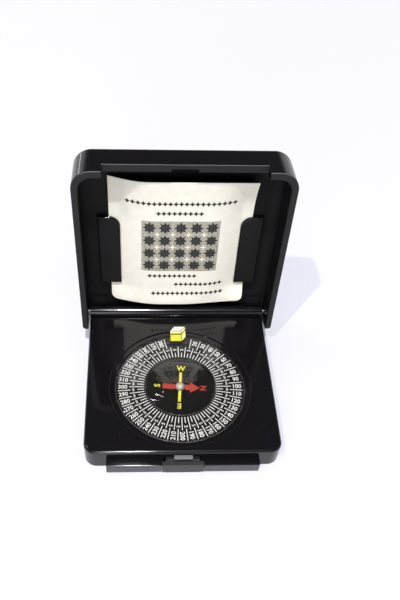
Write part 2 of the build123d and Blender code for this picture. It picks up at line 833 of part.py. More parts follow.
# Booklet: two cover leaves with the inner leaves between them, lying on the lid's panel
inner_top = panel_z - cover_leaf
front_top = inner_top - inner_leaves
leaves = (
    ("booklet_back_leaf", panel_z, cover_leaf),
    ("booklet_inner_leaves", inner_top, inner_leaves),
    ("booklet_front_leaf", front_top, cover_leaf),
)
for label, level, thickness in leaves:
    with BuildPart() as leaf:
        with BuildSketch(Plane.XY.offset(level)) as leaf_outline:
            with Locations((0, booklet_back_y)):
                Rectangle(2 * booklet_half, booklet_length, align=(Align.CENTER, Align.MAX))
            fillet(leaf_outline.vertices(), booklet_corner_radius)
        extrude(amount=-thickness)
    export_step(swing_open(leaf.part, label), f"parts/{label}.step")
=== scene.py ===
"""A folding pocket compass, open on its lid stop: black mouldings, a printed dial under a domed lens,
a turning card and a paper booklet clipped in the lid. Lengths are in millimetres until a mesh is made.
"""

import json
import logging
import math
from collections.abc import Iterable
from dataclasses import dataclass, field, replace
from enum import Enum

import bpy
from mathutils import Matrix, Vector


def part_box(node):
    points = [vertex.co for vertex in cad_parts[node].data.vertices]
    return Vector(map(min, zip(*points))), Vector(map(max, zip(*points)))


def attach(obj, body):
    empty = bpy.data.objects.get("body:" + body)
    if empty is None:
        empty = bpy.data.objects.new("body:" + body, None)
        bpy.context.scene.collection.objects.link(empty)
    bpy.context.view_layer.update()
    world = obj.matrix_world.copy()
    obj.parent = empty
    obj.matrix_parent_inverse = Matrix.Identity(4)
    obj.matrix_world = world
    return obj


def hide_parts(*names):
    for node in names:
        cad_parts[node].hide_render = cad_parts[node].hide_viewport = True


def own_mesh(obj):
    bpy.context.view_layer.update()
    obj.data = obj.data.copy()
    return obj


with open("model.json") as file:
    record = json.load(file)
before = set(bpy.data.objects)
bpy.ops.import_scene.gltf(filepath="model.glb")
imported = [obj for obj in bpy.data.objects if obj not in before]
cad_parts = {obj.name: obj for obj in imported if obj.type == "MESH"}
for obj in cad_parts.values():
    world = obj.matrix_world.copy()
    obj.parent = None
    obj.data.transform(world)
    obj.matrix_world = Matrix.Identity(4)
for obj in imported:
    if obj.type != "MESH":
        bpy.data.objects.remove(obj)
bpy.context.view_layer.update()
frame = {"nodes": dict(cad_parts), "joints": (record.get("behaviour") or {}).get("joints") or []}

MM = 0.001
FULL_TURN_GON = 400
GON = math.tau / FULL_TURN_GON
QUARTER_TURN = math.pi / 2
MERGE_DISTANCE = 0.002
CREASE = math.radians(38)
# The most that the modifier allows: a normal follows the larger faces round it.
LARGE_FACE_WEIGHT = 100
# Most of a noise lies between these values, so patterns are stretched from them.
NOISE_LOW, NOISE_HIGH = 0.25, 0.75

log = logging.getLogger("pocket_compass")

Pair = tuple[float, float]
Triple = tuple[float, float, float]
Outline = list[Pair]
Tree = bpy.types.NodeTree
Node = bpy.types.Node
Socket = bpy.types.NodeSocket
Mesh = bpy.types.Mesh


class Body(Enum):
    """The bodies that new pieces ride on."""

    BASE = "base"
    LID = "lid"
    CARD = "card"


class Slot(Enum):
    """The record's material slots, listed beside the booklet's pieces; no piece is given one."""

    DIAL_PRINT = "dial_print"
    CARD_PRINT = "card_print"
    MARKER = "marker_plastic"
    COVER_PAPER = "cover_paper"
    INNER_PAPER = "inner_paper"


def linear(code: str) -> tuple[float, float, float, float]:
    """Turn an sRGB hex colour into linear light.

    Args:
        code: the colour, such as "#F5F04A".

    Returns:
        Red, green, blue and an opaque alpha.
    """
    channels = [int(code[start:start + 2], 16) / 255 for start in (1, 3, 5)]
    red, green, blue = (c / 12.92 if c <= 0.04045 else ((c + 0.055) / 1.055) ** 2.4 for c in channels)
    return red, green, blue, 1.0


def add_node(tree: Tree, kind: str, feeds: dict | None = None, **settings) -> Node:
    """Add a node with its settings and links.

    Args:
        tree: the node tree that takes it.
        kind: the node's type.
        feeds: what each input takes, by name or number: a socket, a node's first output or a plain value.
        **settings: the node's own properties.

    Returns:
        The new node.
    """
    node = tree.nodes.new(kind)
    for name, value in settings.items():
        setattr(node, name, value)
    for key, value in (feeds or {}).items():
        source = value.outputs[0] if isinstance(value, Node) else value
        if isinstance(source, Socket):
            tree.links.new(source, node.inputs[key])
        else:
            node.inputs[key].default_value = source
    return node


def bare_tree(owner: bpy.types.Material | bpy.types.World) -> Tree:
    """Empty the node tree of a material or a world.

    Args:
        owner: the material or world.

    Returns:
        Its tree, without nodes.
    """
    owner.use_nodes = True
    owner.node_tree.nodes.clear()
    return owner.node_tree


def put(name: str, data: bpy.types.ID) -> bpy.types.Object:
    """Put a mesh, text, light or camera in the scene.

    Args:
        name: the object's name.
        data: what it shows.

    Returns:
        The object.
    """
    thing = bpy.data.objects.new(name, data)
    bpy.context.scene.collection.objects.link(thing)
    return thing


def settled(holder: bpy.types.Object) -> Mesh:
    """Return an object's finished shape as a plain mesh."""
    bpy.context.view_layer.update()
    return bpy.data.meshes.new_from_object(holder.evaluated_get(bpy.context.evaluated_depsgraph_get()))


def part(start: float, end: float, value: float) -> float:
    """Return how far a value is on the way from start to end, held between 0 and 1."""
    return min(1.0, max(0.0, (value - start) / (end - start)))


def rise(start: float, end: float, value: float) -> float:
    """Return a smooth step from 0 at start to 1 at end."""
    share = part(start, end, value)
    return share * share * (3 - 2 * share)


def ramp(start: float, end: float, value: float) -> float:
    """Return a rise from 0 at start to 1 at end that is nearly straight and eases in at its end."""
    share = part(start, end, value)
    return share * (3 - share * share) / 2


def arch(start: float, end: float, value: float) -> float:
    """Return a rise from 0 at start to 1 at end, steep at first and level at its end."""
    return math.sin(QUARTER_TURN * part(start, end, value))


def blend(first: float, second: float, share: float) -> float:
    """Return the value a share of the way from first to second."""
    return first + (second - first) * share


def corners(points: Iterable[Vector]) -> tuple[Vector, Vector]:
    """Measure the box round some points.

    Args:
        points: the points.

    Returns:
        The box's lowest and highest corners.
    """
    listed = list(points)
    low, high = (Vector([pick(point[axis] for point in listed) for axis in range(3)]) for pick in (min, max))
    return low, high


@dataclass(frozen=True)
class Patches:
    """Soft patches of a second colour: their width in millimetres, raggedness and largest share."""

    colour: str
    size: float
    detail: float = 2.0
    most: float = 1.0


@dataclass(frozen=True)
class Grain:
    """A fine relief: size and depth in millimetres, raggedness, and how far it sways the roughness."""

    size: float
    depth: float
    detail: float = 1.0
    smoother: float = 0.0
    rougher: float = 0.0


@dataclass(frozen=True)
class Finish:
    """What every finish has: a colour, how the bare surface answers light, and any patches and grain."""

    name: str
    colour: str
    roughness: float = 0.5
    metallic: float = 0.0
    ior: float = 1.5
    patches: Patches | None = None
    grain: Grain | None = None

    def make(self) -> bpy.types.Material:
        """Make the material.

        Returns:
            The finished material, one for each name.
        """
        known = bpy.data.materials.get(self.name)
        if known:
            return known
        material = bpy.data.materials.new(self.name)
        tree = bare_tree(material)
        shader = add_node(tree, "ShaderNodeBsdfPrincipled", {
            "Base Color": linear(self.colour), "Roughness": self.roughness, "Metallic": self.metallic,
            "IOR": self.ior})
        place = add_node(tree, "ShaderNodeTexCoord")
        point = add_node(tree, "ShaderNodeVectorMath", {0: place.outputs["Object"], 1: (1 / MM,) * 3},
                         operation="MULTIPLY").outputs[0]
        add_node(tree, "ShaderNodeOutputMaterial", {"Surface": self.surface(tree, shader)})
        self.dress(tree, shader, point, place.outputs["Normal"])
        return material

    def surface(self, tree: Tree, shader: Node) -> Socket:
        """Return the socket that the surface is read from."""
        return shader.outputs[0]

    def dress(self, tree: Tree, shader: Node, point: Socket, normal: Socket) -> None:
        """Lay the patches and the grain on the surface.

        Args:
            tree: the material's nodes.
            shader: its Principled node.
            point: the place on the piece, in millimetres.
            normal: the way that the surface faces on the piece.
        """
        if self.patches:
            noise = add_node(tree, "ShaderNodeTexNoise", {
                "Vector": point, "Scale": 1 / self.patches.size, "Detail": self.patches.detail})
            share = add_node(tree, "ShaderNodeMapRange", {
                "Value": noise, "From Min": NOISE_LOW, "From Max": NOISE_HIGH, "To Max": self.patches.most})
            mixed = add_node(tree, "ShaderNodeMix", {
                0: share, 6: linear(self.colour), 7: linear(self.patches.colour)}, data_type="RGBA")
            tree.links.new(mixed.outputs[2], shader.inputs["Base Color"])
        if self.grain:
            noise = add_node(tree, "ShaderNodeTexNoise", {
                "Vector": point, "Scale": 1 / self.grain.size, "Detail": self.grain.detail})
            bump = add_node(tree, "ShaderNodeBump", {"Height": noise, "Distance": self.grain.depth * MM})
            tree.links.new(bump.outputs[0], shader.inputs["Normal"])
            if self.grain.rougher:
                sway = add_node(tree, "ShaderNodeMapRange", {
                    "Value": noise, "From Min": NOISE_LOW, "From Max": NOISE_HIGH,
                    "To Min": self.roughness - self.grain.smoother,
                    "To Max": self.roughness + self.grain.rougher})
                tree.links.new(sway.outputs[0], shader.inputs["Roughness"])


@dataclass(frozen=True)
class Zone:
    """A side of a moulding: faces that look one way, past a level along that way, matte or painted with a
    highlight or a reflection.
    """

    facing: Triple
    level: float
    least_cosine: float = 0.85
    colour: str = "#1B1B1E"
    roughness: float = 0.5


@dataclass(frozen=True)
class PolishedAbs(Finish):
    """ABS from a polished mould: deep black, mirror-like, with faint waves, haze and settled dust."""

    wave_size: float = 7.0
    wave_depth: float = 0.006
    wave_detail: float = 0.0
    haze_size: float = 16.0
    haze_detail: float = 2.0
    haze: float = 0.06
    dust_spacing: float = 2.6
    dust_size: float = 0.09
    dust_share: float = 0.35
    dust_colour: str = "#77747A"
    grain_size: float = 0.22
    grain_detail: float = 1.0
    zones: tuple[Zone, ...] = ()

    def dress(self, tree: Tree, shader: Node, point: Socket, normal: Socket) -> None:
        """Lay haze, dust and waves on the gloss, and each zone's colour, roughness and grain: a matte side, a
        painted highlight or a painted reflection.

        Args:
            tree: the material's nodes.
            shader: its Principled node.
            point: the place on the piece, in millimetres.
            normal: the way that the surface faces on the piece.
        """
        cells = add_node(tree, "ShaderNodeTexVoronoi", {"Vector": point, "Scale": 1 / self.dust_spacing})
        near = add_node(tree, "ShaderNodeMath", {0: cells, 1: self.dust_size / self.dust_spacing},
                        operation="LESS_THAN")
        lot = add_node(tree, "ShaderNodeMath", {0: cells.outputs["Color"], 1: self.dust_share},
                       operation="LESS_THAN")
        dust = add_node(tree, "ShaderNodeMath", {0: near, 1: lot}, operation="MULTIPLY")
        colour = add_node(tree, "ShaderNodeMix", {
            0: dust, 6: linear(self.colour), 7: linear(self.dust_colour)}, data_type="RGBA").outputs[2]
        haze, height, grain = (
            add_node(tree, "ShaderNodeTexNoise", {"Vector": point, "Scale": 1 / size, "Detail": detail})
            for size, detail in ((self.haze_size, self.haze_detail), (self.wave_size, self.wave_detail),
                                 (self.grain_size, self.grain_detail)))
        roughness = add_node(tree, "ShaderNodeMapRange", {
            "Value": haze, "From Min": NOISE_LOW, "From Max": NOISE_HIGH,
            "To Min": self.roughness, "To Max": self.roughness + self.haze})
        for zone in self.zones:
            side = self.side(tree, point, normal, zone)
            colour = add_node(tree, "ShaderNodeMix", {0: side, 6: colour, 7: linear(zone.colour)},
                              data_type="RGBA").outputs[2]
            roughness = add_node(tree, "ShaderNodeMix", {0: side, 2: roughness, 3: zone.roughness})
            height = add_node(tree, "ShaderNodeMix", {0: side, 2: height, 3: grain})
        bump = add_node(tree, "ShaderNodeBump", {"Height": height, "Distance": self.wave_depth * MM})
        for source, target in ((colour, "Base Color"), (roughness.outputs[0], "Roughness"),
                               (bump.outputs[0], "Normal")):
            tree.links.new(source, shader.inputs[target])

    def side(self, tree: Tree, point: Socket, normal: Socket, zone: Zone) -> Socket:
        """Return 1 on the zone's faces and 0 elsewhere.

        Args:
            tree: the material's nodes.
            point: the place on the piece, in millimetres.
            normal: the way that the surface faces on the piece.
            zone: the side, matte or holding a painted highlight or reflection.

        Returns:
            The mask's socket.
        """
        along = add_node(tree, "ShaderNodeVectorMath", {0: point, 1: zone.facing}, operation="DOT_PRODUCT")
        turned = add_node(tree, "ShaderNodeVectorMath", {0: normal, 1: zone.facing}, operation="DOT_PRODUCT")
        past = add_node(tree, "ShaderNodeMath", {0: along.outputs["Value"], 1: zone.level},
                        operation="GREATER_THAN")
        looks = add_node(tree, "ShaderNodeMath", {0: turned.outputs["Value"], 1: zone.least_cosine},
                         operation="GREATER_THAN")
        return add_node(tree, "ShaderNodeMath", {0: past, 1: looks}, operation="MULTIPLY").outputs[0]


@dataclass(frozen=True)
class ClearAcrylic(Finish):
    """Moulded acrylic: water-clear, with sharp highlights. Lamps shine through it."""

    def surface(self, tree: Tree, shader: Node) -> Socket:
        """Let light through, to and from what lies below, instead of casting a shadow.

        Args:
            tree: the material's nodes.
            shader: its Principled node.

        Returns:
            The socket that the surface is read from.
        """
        shader.inputs["Transmission Weight"].default_value = 1.0
        path = add_node(tree, "ShaderNodeLightPath").outputs
        light = add_node(tree, "ShaderNodeMath", {0: path["Is Shadow Ray"], 1: path["Is Diffuse Ray"]},
                         operation="MAXIMUM")
        through = add_node(tree, "ShaderNodeBsdfTransparent")
        return add_node(tree, "ShaderNodeMixShader", {0: light, 1: shader, 2: through}).outputs[0]


def new_piece(name: str, mesh: Mesh, finish: Finish, body: Body) -> bpy.types.Object:
    """Put a finished mesh in the scene as a piece of the object.

    Args:
        name: the piece's name.
        mesh: its mesh, in place and in metres.
        finish: its finish.
        body: the body that it rides on.

    Returns:
        The piece.
    """
    mesh.name = name
    mesh.materials.clear()
    mesh.materials.append(finish.make())
    piece = put(name, mesh)
    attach(piece, body.value)
    log.info("%s: %d faces on %s", name, len(mesh.polygons), body.value)
    return piece


@dataclass
class Batch:
    """Faces gathered from several shapes into one mesh, in millimetres."""

    points: list[Triple] = field(default_factory=list)
    faces: list[list[int]] = field(default_factory=list)

    def add(self, mesh: Mesh, place: Matrix) -> None:
        """Add a mesh, and drop the mesh itself.

        Args:
            mesh: the mesh, in millimetres.
            place: where it goes.
        """
        start = len(self.points)
        self.points += [tuple(place @ vertex.co) for vertex in mesh.vertices]
        self.faces += [[start + index for index in face.vertices] for face in mesh.polygons]
        bpy.data.meshes.remove(mesh)

    def add_plate(self, outline: Outline, bottom: float, top: float) -> None:
        """Add a flat plate.

        Args:
            outline: the plate's corners, anticlockwise.
            bottom: the level of its underside.
            top: the level of its upper side.
        """
        start, count = len(self.points), len(outline)
        self.points += [(x, y, bottom) for x, y in outline] + [(x, y, top) for x, y in outline]
        self.faces.append([start + index for index in reversed(range(count))])
        self.faces.append([start + count + index for index in range(count)])
        for index in range(count):
            after = (index + 1) % count
            self.faces.append([start + index, start + after, start + count + after, start + count + index])

    def mesh(self, place: Matrix | None = None) -> Mesh:
        """Make the gathered mesh.

        Args:
            place: where it goes, in millimetres, if it isn't in place yet.

        Returns:
            The mesh in metres.
        """
        made = bpy.data.meshes.new("batch")
        made.from_pydata(self.points, [], self.faces)
        if place is not None:
            made.transform(place)
        made.transform(Matrix.Scale(MM, 4))
        made.update()
        return made


@dataclass(frozen=True)
class Lettering:
    """A bold sans face for numbers and single letters, set as thin raised ink."""

    height: float
    narrowing: float = 1.0
    weight: float = 0.02
    thickness: float = 0.03
    fineness: int = 3

    def set(self, text: str) -> Mesh:
        """Set a text.

        Args:
            text: the characters.

        Returns:
            Its mesh in millimetres, centred on the origin, lying on the plane z = 0.
        """
        curve = bpy.data.curves.new("lettering", "FONT")
        curve.body = text
        curve.size = 1.0
        curve.offset = self.weight
        curve.resolution_u = self.fineness
        curve.extrude = self.thickness / 2
        holder = put("lettering", curve)
        mesh = settled(holder)
        bpy.data.objects.remove(holder)
        bpy.data.curves.remove(curve)
        low, high = corners(vertex.co for vertex in mesh.vertices)
        size = self.height / (high.y - low.y)
        fit = Matrix.Diagonal((size * self.narrowing, size, 1.0, 1.0))
        mesh.transform(fit @ Matrix.Translation((-(low.x + high.x) / 2, -(low.y + high.y) / 2, -low.z)))
        return mesh


def node_group(name: str, inputs: dict[str, str]) -> tuple[Tree, bpy.types.NodeOutputs]:
    """Start a geometry node tree with named inputs.

    Args:
        name: the tree's name.
        inputs: each input's name and socket type.

    Returns:
        The tree and the sockets that give its inputs.
    """
    tree = bpy.data.node_groups.new(name, "GeometryNodeTree")
    for title, kind in inputs.items():
        tree.interface.new_socket(title, in_out="INPUT", socket_type=kind)
    tree.interface.new_socket("Geometry", in_out="OUTPUT", socket_type="NodeSocketGeometry")
    return tree, add_node(tree, "NodeGroupInput").outputs


def plant(holder: bpy.types.Object, tree: Tree, values: dict) -> bpy.types.Modifier:
    """Give an object a geometry node tree.

    Args:
        holder: the object.
        tree: the tree.
        values: each input's value by its name.

    Returns:
        The modifier that runs the tree.
    """
    modifier = holder.modifiers.new(tree.name, "NODES")
    modifier.node_group = tree
    for socket in tree.interface.items_tree:
        if socket.in_out == "INPUT" and socket.name in values:
            modifier[socket.identifier] = values[socket.name]
    return modifier


def grow(tree: Tree, values: dict) -> Mesh:
    """Run a geometry node tree.

    Args:
        tree: the tree.
        values: each input's value by its name.

    Returns:
        The result as a plain mesh.
    """
    holder = put(tree.name, bpy.data.meshes.new(tree.name))
    modifier = plant(holder, tree, values)
    mesh = settled(holder)
    blank = holder.data
    holder.modifiers.remove(modifier)
    bpy.data.objects.remove(holder)
    bpy.data.meshes.remove(blank)
    return mesh


def even_shading_tree() -> Tree:
    """Build the tree that joins a node's triangles and shades them smooth up to a crease.

    Returns:
        The tree, which keeps the shape as it is.
    """
    tree, given = node_group("even_shading", {
        "Geometry": "NodeSocketGeometry", "Merge Distance": "NodeSocketFloat", "Crease": "NodeSocketFloat"})
    plain = add_node(tree, "GeometryNodeRemoveAttribute", {
        "Geometry": given["Geometry"], "Name": "custom_normal"})
    shaded = add_node(tree, "GeometryNodeMergeByDistance", {
        "Geometry": plain, "Distance": given["Merge Distance"]})
    for domain in ("FACE", "EDGE"):
        shaded = add_node(tree, "GeometryNodeSetShadeSmooth", {"Geometry": shaded, "Shade Smooth": True},
                          domain=domain)
    angle = add_node(tree, "GeometryNodeInputMeshEdgeAngle")
    sharp = add_node(tree, "FunctionNodeCompare", {0: angle, 1: given["Crease"]}, operation="GREATER_THAN")
    creased = add_node(tree, "GeometryNodeSetShadeSmooth", {
        "Geometry": shaded, "Selection": sharp, "Shade Smooth": False}, domain="EDGE")
    add_node(tree, "NodeGroupOutput", {0: creased})
    return tree


def shade_evenly(node: str) -> None:
    """Smooth the shading of a carried-over node's round stretches, with its flat faces left flat.

    Args:
        node: the node's name.
    """
    tree = bpy.data.node_groups.get("even_shading") or even_shading_tree()
    piece = frame["nodes"][node]
    plant(piece, tree, {"Merge Distance": MERGE_DISTANCE * MM, "Crease": CREASE})
    weighted = piece.modifiers.new("flat_faces_first", "WEIGHTED_NORMAL")
    weighted.mode = "FACE_AREA_WITH_ANGLE"
    weighted.weight = LARGE_FACE_WEIGHT
    weighted.keep_sharp = True


def close_tree(tree: Tree, instances: Node, ink: Socket) -> None:
    """End a geometry node tree in real faces of one ink.

    Args:
        tree: the tree.
        instances: the node that repeats the shape.
        ink: the material's input.
    """
    real = add_node(tree, "GeometryNodeRealizeInstances", {0: instances})
    inked = add_node(tree, "GeometryNodeSetMaterial", {"Geometry": real, "Material": ink})
    add_node(tree, "NodeGroupOutput", {0: inked})


def tick_ring_tree() -> Tree:
    """Build the tree that repeats a radial line round a centre, clockwise from the back.

    Returns:
        The tree, whose lengths are in millimetres.
    """
    tree, given = node_group("tick_ring", {
        "Count": "NodeSocketInt", "First Angle": "NodeSocketFloat", "Step": "NodeSocketFloat",
        "Inner Radius": "NodeSocketFloat", "Length": "NodeSocketFloat", "Width": "NodeSocketFloat",
        "Thickness": "NodeSocketFloat", "Ink": "NodeSocketMaterial"})
    size = add_node(tree, "ShaderNodeCombineXYZ", {
        0: given["Length"], 1: given["Width"], 2: given["Thickness"]})
    line = add_node(tree, "GeometryNodeMeshCube", {"Size": size})
    middle = add_node(tree, "ShaderNodeMath", {0: given["Length"], 1: 0.5, 2: given["Inner Radius"]},
                      operation="MULTIPLY_ADD")
    lift = add_node(tree, "ShaderNodeMath", {0: given["Thickness"], 1: 0.5}, operation="MULTIPLY")
    shift = add_node(tree, "ShaderNodeCombineXYZ", {0: middle, 2: lift})
    placed = add_node(tree, "GeometryNodeTransform", {"Geometry": line, "Translation": shift})
    centre = add_node(tree, "GeometryNodeMeshLine", {"Count": given["Count"], "Offset": (0.0, 0.0, 0.0)})
    number = add_node(tree, "GeometryNodeInputIndex")
    swept = add_node(tree, "ShaderNodeMath", {0: number, 1: given["Step"], 2: given["First Angle"]},
                     operation="MULTIPLY_ADD")
    angle = add_node(tree, "ShaderNodeMath", {0: QUARTER_TURN, 1: swept}, operation="SUBTRACT")
    turn = add_node(tree, "ShaderNodeCombineXYZ", {2: angle})
    ring = add_node(tree, "GeometryNodeInstanceOnPoints", {
        "Points": centre, "Instance": placed, "Rotation": turn})
    close_tree(tree, ring, given["Ink"])
    return tree


def star_field_tree() -> Tree:
    """Build the tree that repeats a flat star in columns and rows about the origin.

    Returns:
        The tree, whose lengths are in millimetres.
    """
    tree, given = node_group("star_field", {
        "Columns": "NodeSocketInt", "Rows": "NodeSocketInt", "Column Spacing": "NodeSocketFloat",
        "Row Spacing": "NodeSocketFloat", "Points": "NodeSocketInt", "Inner Radius": "NodeSocketFloat",
        "Outer Radius": "NodeSocketFloat", "Thickness": "NodeSocketFloat", "Fineness": "NodeSocketInt",
        "Ink": "NodeSocketMaterial"})
    sides = []
    for count, spacing in (("Columns", "Column Spacing"), ("Rows", "Row Spacing")):
        gaps = add_node(tree, "ShaderNodeMath", {0: given[count], 1: 1.0}, operation="SUBTRACT")
        sides.append(add_node(tree, "ShaderNodeMath", {0: gaps, 1: given[spacing]}, operation="MULTIPLY"))
    grid = add_node(tree, "GeometryNodeMeshGrid", {
        "Size X": sides[0], "Size Y": sides[1], "Vertices X": given["Columns"], "Vertices Y": given["Rows"]})
    star = add_node(tree, "GeometryNodeCurveStar", {
        name: given[name] for name in ("Points", "Inner Radius", "Outer Radius")})
    filled = add_node(tree, "GeometryNodeFillCurve", {0: star}, mode="TRIANGLES")
    flat = add_node(tree, "GeometryNodeSubdivideMesh", {"Mesh": filled, "Level": given["Fineness"]})
    raised = add_node(tree, "GeometryNodeExtrudeMesh", {
        "Mesh": flat, "Offset Scale": given["Thickness"], "Individual": False})
    under = add_node(tree, "GeometryNodeFlipFaces", {0: flat})
    halves = add_node(tree, "GeometryNodeJoinGeometry", {0: raised})
    tree.links.new(under.outputs[0], halves.inputs[0])
    whole = add_node(tree, "GeometryNodeMergeByDistance", {0: halves})
    stars = add_node(tree, "GeometryNodeInstanceOnPoints", {"Points": grid, "Instance": whole})
    close_tree(tree, stars, given["Ink"])
    return tree


# Black ABS from a polished mould mirrors the white table as pale sheens and is nearly black elsewhere.
GLOSS_BLACK = PolishedAbs("ABS_polished_black", "#121115", roughness=0.07, ior=1.5)
# The bottom cover and the cup come from spark-eroded moulds, so they look dark grey and even.
GRAIN_BLACK = Finish("ABS_spark_eroded_black", "#161518", roughness=0.5,
                     grain=Grain(0.3, 0.015, smoother=0.08, rougher=0.08))
# The dial, the card and the marker's plate are black printed foil, duller than the mouldings.
BLACK_FOIL = Finish("printed_foil_black", "#0A0A0B", roughness=0.3, ior=1.33,
                    grain=Grain(0.3, 0.0006, smoother=0.03, rougher=0.03))
# Screen inks are opaque and dull, with slight blotches half a millimetre wide.
WHITE_INK = Finish("screen_ink_white", "#F4F4F1", patches=Patches("#DCDDDC", 0.5))
YELLOW_INK = Finish("screen_ink_yellow", "#E2E048", patches=Patches("#D6D23A", 0.5))
PALE_YELLOW_INK = Finish("screen_ink_pale_yellow", "#F6F1A6", patches=Patches("#EDE67A", 0.5))
RED_INK = Finish("screen_ink_red", "#AE3C2E", patches=Patches("#9C3023", 0.5))
# Acrylic is water-clear, so it shows only by its highlights and by what it bends.
LENS_ACRYLIC = ClearAcrylic("acrylic_moulded_clear", "#FFFFFF", roughness=0.0, ior=1.4)
# Uncoated paper is warm white, dull and cloudy. Its fibres are drawn about twice as coarse as real ones,
# to show.
PAPER_FIBRES = Grain(0.16, 0.02, detail=2.0)
COVER_PAPER = Finish("paper_uncoated_cover", "#FBF9F0", roughness=0.85, grain=PAPER_FIBRES,
                     patches=Patches("#F4F1E5", 2.4, detail=5.0))
INNER_PAPER = Finish("paper_uncoated_inner", "#EFEBDC", roughness=0.85, grain=PAPER_FIBRES,
                     patches=Patches("#E2DDCB", 2.4, detail=5.0))
# Offset ink on paper is a soft black. Its halftone leaves paper between grains, drawn coarser than a real
# screen to show.
OFFSET_BLACK = Finish("offset_ink_black", "#2A2927", roughness=0.7, patches=Patches("#3A3936", 0.5))
HALFTONE_GREY = Finish("offset_ink_halftone", "#77736A", roughness=0.8,
                       patches=Patches("#D5D1C4", 0.42, detail=3.0))
# Nickel on the hub is pale and softly bright; steel pins, screws and spring are greyer. Tools mark both,
# and a light tarnish dulls them in patches.
TOOL_MARKS = Grain(0.12, 0.003, smoother=0.05, rougher=0.1)
NICKEL = Finish("nickel_turned", "#B9B2A5", roughness=0.75, metallic=1.0,
                patches=Patches("#A09A8E", 0.9, most=0.6), grain=TOOL_MARKS)
STEEL = Finish("steel_drawn", "#A9A8A6", roughness=0.3, metallic=1.0,
               patches=Patches("#8F8C86", 0.9, most=0.6), grain=TOOL_MARKS)
MAGNET_STEEL = Finish("steel_magnet", "#6E6C6A", roughness=0.4, metallic=1.0,
                      patches=Patches("#8F8C86", 0.9, most=0.6), grain=TOOL_MARKS)
# The bearing is a synthetic ruby: dark red and glassy.
RUBY = Finish("ruby_synthetic", "#6A0A1E", roughness=0.08, ior=1.77)


@dataclass(frozen=True)
class LidPlace:
    """Where the lid stands open, worked out from its hinge joint."""

    joint: dict

    def turn(self) -> Matrix:
        """Work out how the lid turns from shut to open.

        Returns:
            The turn, in millimetres.
        """
        angle = math.radians(max(self.joint["range_deg"]))
        shift = Matrix.Translation(Vector(self.joint["pos_m"]) / MM)
        return shift @ Matrix.Rotation(-angle, 4, "X") @ shift.inverted()

    def outward(self) -> Vector:
        """Return the way out of the open tray."""
        return self.turn().to_3x3() @ Vector((0.0, 0.0, -1.0))

    def shut_box(self, node: str) -> tuple[Vector, Vector]:
        """Return a lid node's lowest and highest corners in the shut lid, in millimetres."""
        back = self.turn().inverted() @ Matrix.Scale(1 / MM, 4)
        return corners(back @ vertex.co for vertex in frame["nodes"][node].data.vertices)


def node_box(node: str) -> tuple[Vector, Vector]:
    """Return a node's lowest and highest corners in millimetres."""
    low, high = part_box(node)
    return low / MM, high / MM


def top_middle(node: str) -> Vector:
    """Return the middle of a node's top in millimetres."""
    low, high = node_box(node)
    return Vector(((low.x + high.x) / 2, (low.y + high.y) / 2, high.z))


def dress_node(node: str, finish: Finish) -> None:
    """Give a carried-over node its finish.

    Args:
        node: the node's name.
        finish: its finish.
    """
    piece = frame["nodes"][node]
    piece.data.materials.clear()
    piece.data.materials.append(finish.make())
    shade_evenly(node)
    log.info("%s: %s", node, finish.name)


